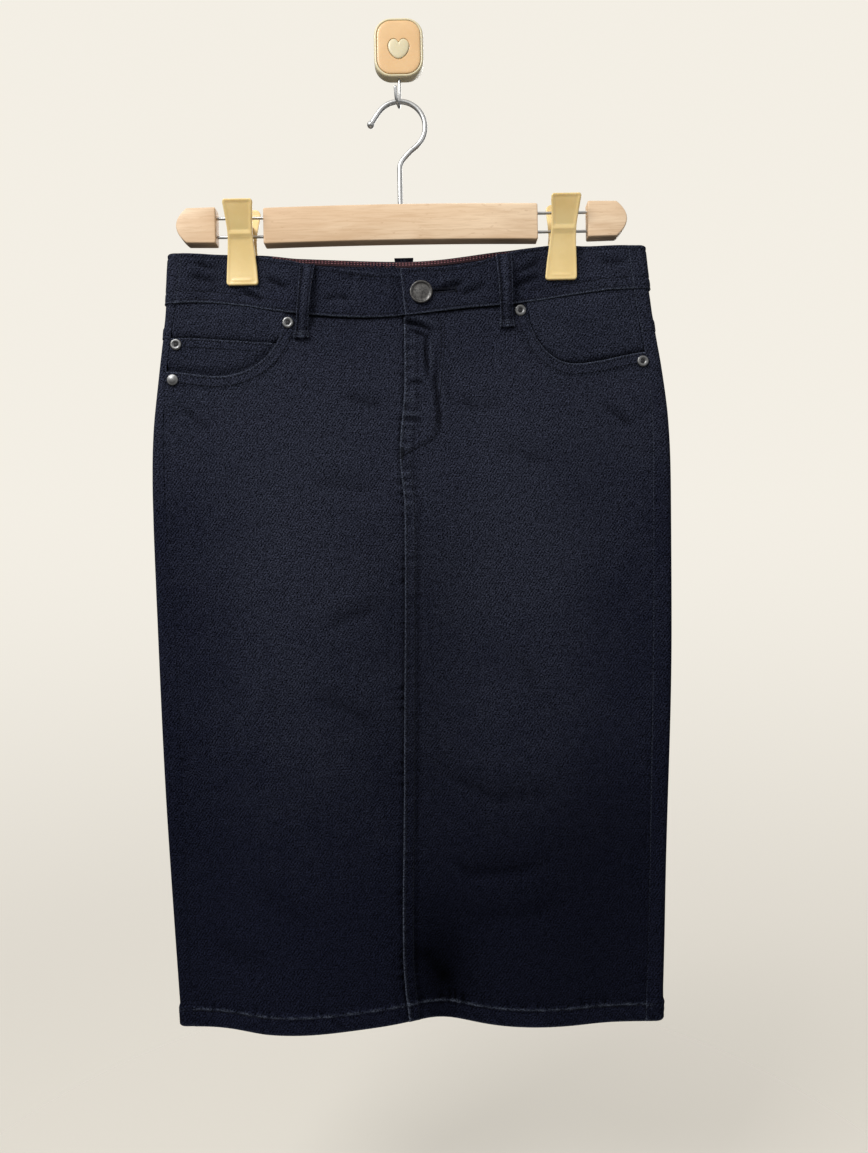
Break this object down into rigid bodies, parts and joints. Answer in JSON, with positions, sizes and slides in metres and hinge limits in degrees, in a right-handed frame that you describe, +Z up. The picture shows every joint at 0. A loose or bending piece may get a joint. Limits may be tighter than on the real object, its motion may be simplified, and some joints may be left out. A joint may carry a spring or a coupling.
{
  "type": "denim skirt on a clip hanger and wall hook",
  "caption": "Knee-length denim pencil skirt with scooped front pockets and belt loops, clipped to a wooden hanger that hangs on a stick-on wall hook.",
  "frame": {"origin": "middle of the wall hook's flat back, which sticks to the wall (the wall is the plane y = 0)", "axes": "+Z up, +Y into the wall, -Y towards the viewer, +X to the right seen from the front"},
  "size_m": [0.4129, 0.0444, 0.8092],
  "materials": {
    "denim": "dark navy stretch twill, overdyed, soft and slightly faded at its edges",
    "pocketing": "plain dark pocket cloth",
    "zip_tape": "dark woven zip tape",
    "pewter": "antique dark metal",
    "rivet_metal": "dull silver metal",
    "maple": "pale maple, thin satin lacquer",
    "steel_wire": "bright drawn steel wire",
    "clip_plastic": "pale yellow, slightly clear plastic",
    "cream_plastic": "cream plastic, soft gloss",
    "peach_plastic": "peach plastic, soft gloss"
  },
  "bodies": {
    "root": {"front_panel_left": "denim", "front_panel_right": "denim", "pocket_facing_left": "denim", "pocket_facing_right": "denim", "coin_pocket": "denim", "back_yoke_left": "denim", "back_yoke_right": "denim", "back_panel_left": "denim", "back_panel_right": "denim", "waistband_front_left": "denim", "waistband_front_right": "denim", "waistband_back": "denim", "belt_loop_front_left": "denim", "belt_loop_front_right": "denim", "belt_loop_back_left": "denim", "belt_loop_back_centre": "denim", "belt_loop_back_right": "denim", "fly_shield": "denim", "pocket_bag_left": "pocketing", "pocket_bag_right": "pocketing", "fly_zip": "zip_tape", "button": "pewter", "hanger_bar": "maple", "hanger_end_left": "maple", "hanger_end_right": "maple", "hanger_hook": "steel_wire", "wall_hook_plate": "cream_plastic", "wall_hook_heart": "cream_plastic", "wall_hook_cover": "peach_plastic", "wall_hook_wire": "steel_wire", "rivet_left_top": "rivet_metal", "rivet_coin_pocket": "rivet_metal", "rivet_left_side": "rivet_metal", "rivet_right_top": "rivet_metal", "rivet_right_side": "rivet_metal", "rod_left_upper": "steel_wire", "rod_left_lower": "steel_wire", "rod_right_upper": "steel_wire", "rod_right_lower": "steel_wire", "clip_left_front": "clip_plastic", "clip_left_back": "clip_plastic", "clip_right_front": "clip_plastic", "clip_right_back": "clip_plastic"}
  },
  "joints": []
}
